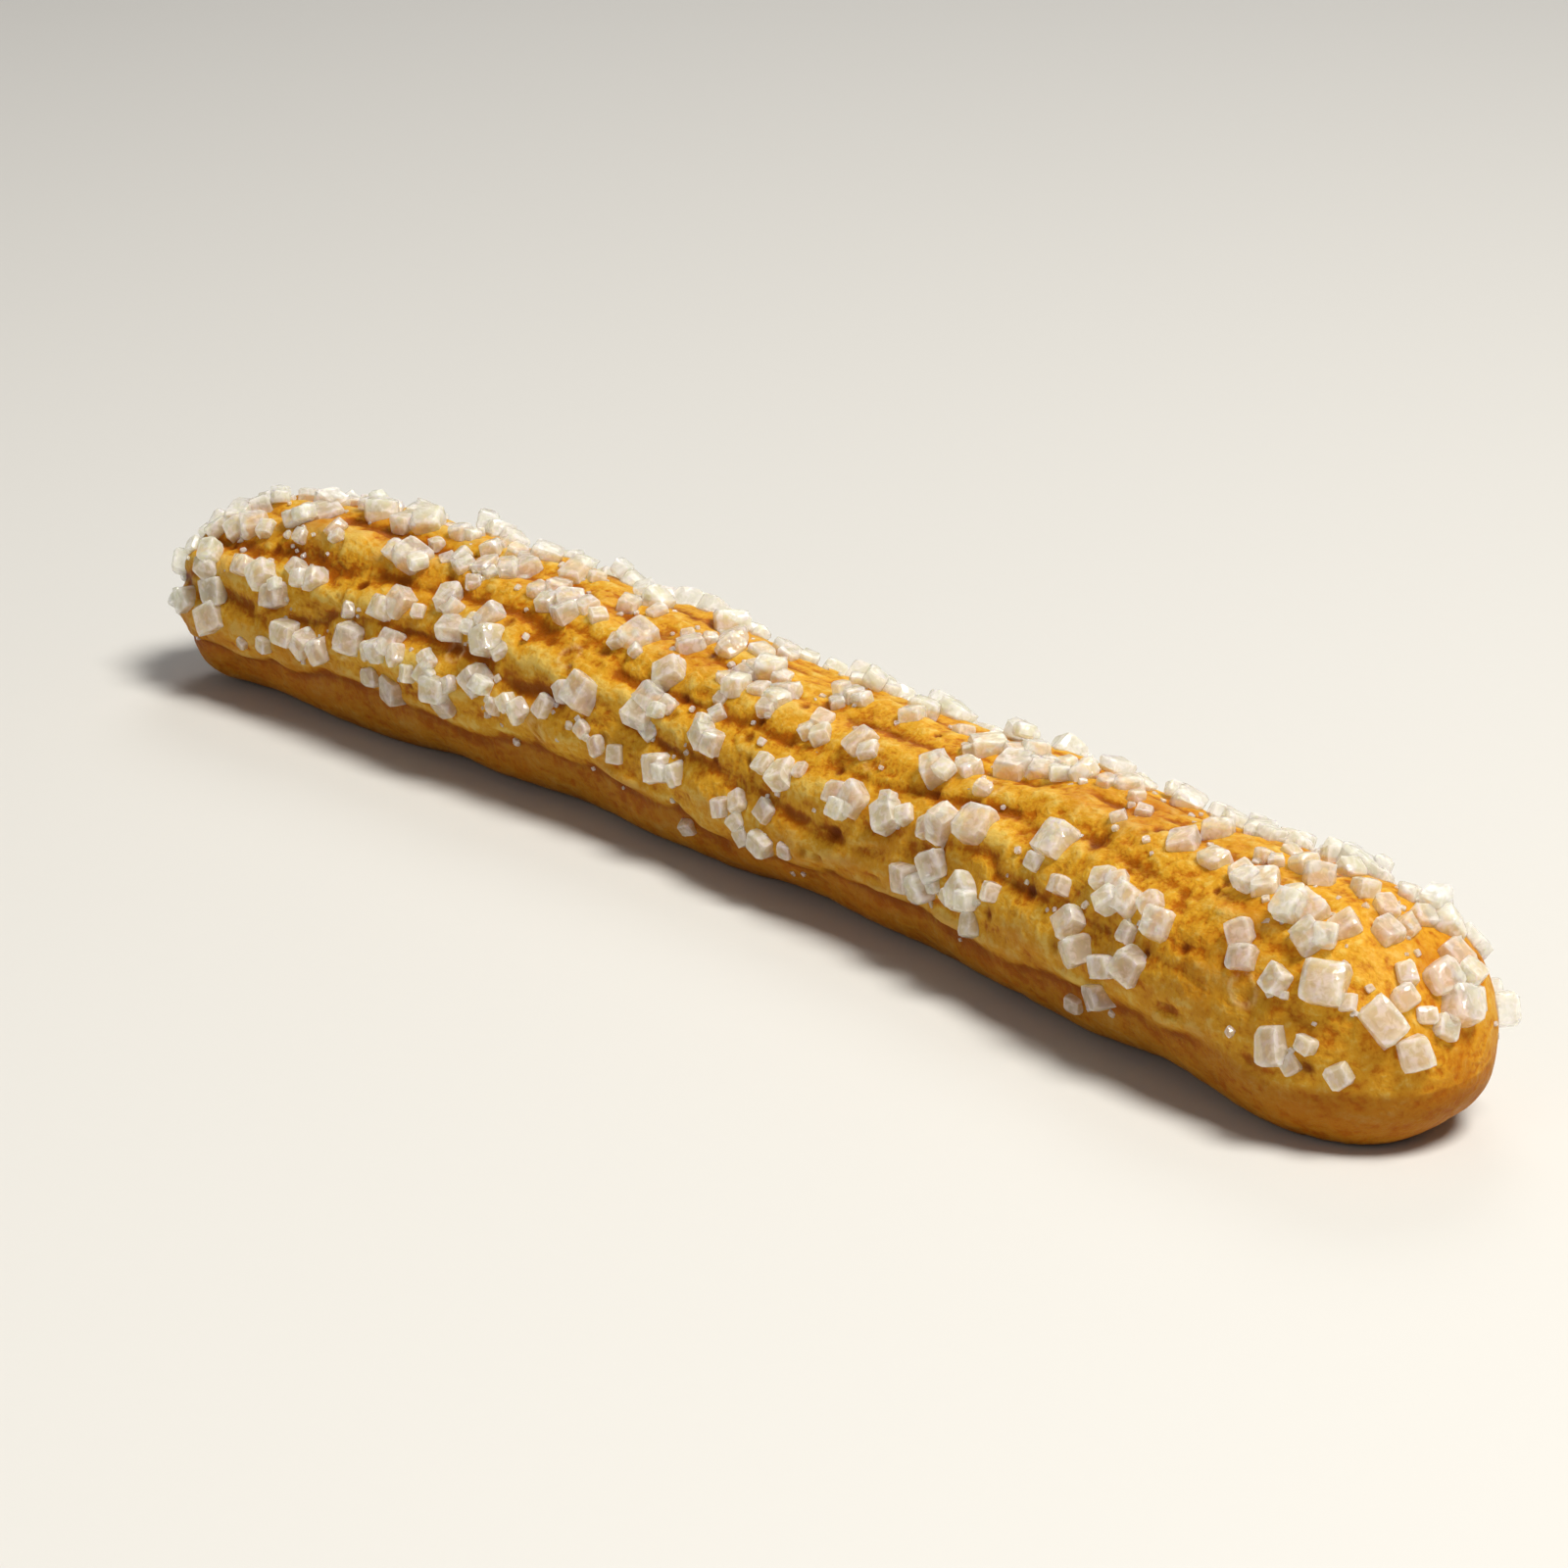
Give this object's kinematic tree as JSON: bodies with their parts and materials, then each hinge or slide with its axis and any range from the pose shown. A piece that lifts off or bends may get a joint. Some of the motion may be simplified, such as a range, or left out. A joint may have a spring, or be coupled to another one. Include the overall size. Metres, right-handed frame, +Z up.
{
  "type": "choux pastry stick",
  "caption": "Finger of baked choux pastry with rounded ends, piped ridges along its upper side, a flat underside and coarse sugar crystals baked onto the crust.",
  "frame": {"origin": "middle of the flat underside, at the centre of the bounding box", "axes": "+Z up, +X along the stick from its slim end to its blunt end, -Y is the flank that the picture shows"},
  "size_m": [0.1507, 0.0267, 0.0205],
  "materials": {
    "choux": "baked golden crust, matte with a faint sugar glaze",
    "sugar": "translucent ivory sugar crystals with frosted faces"
  },
  "bodies": {
    "root": {"choux_stick": "choux"}
  },
  "joints": []
}
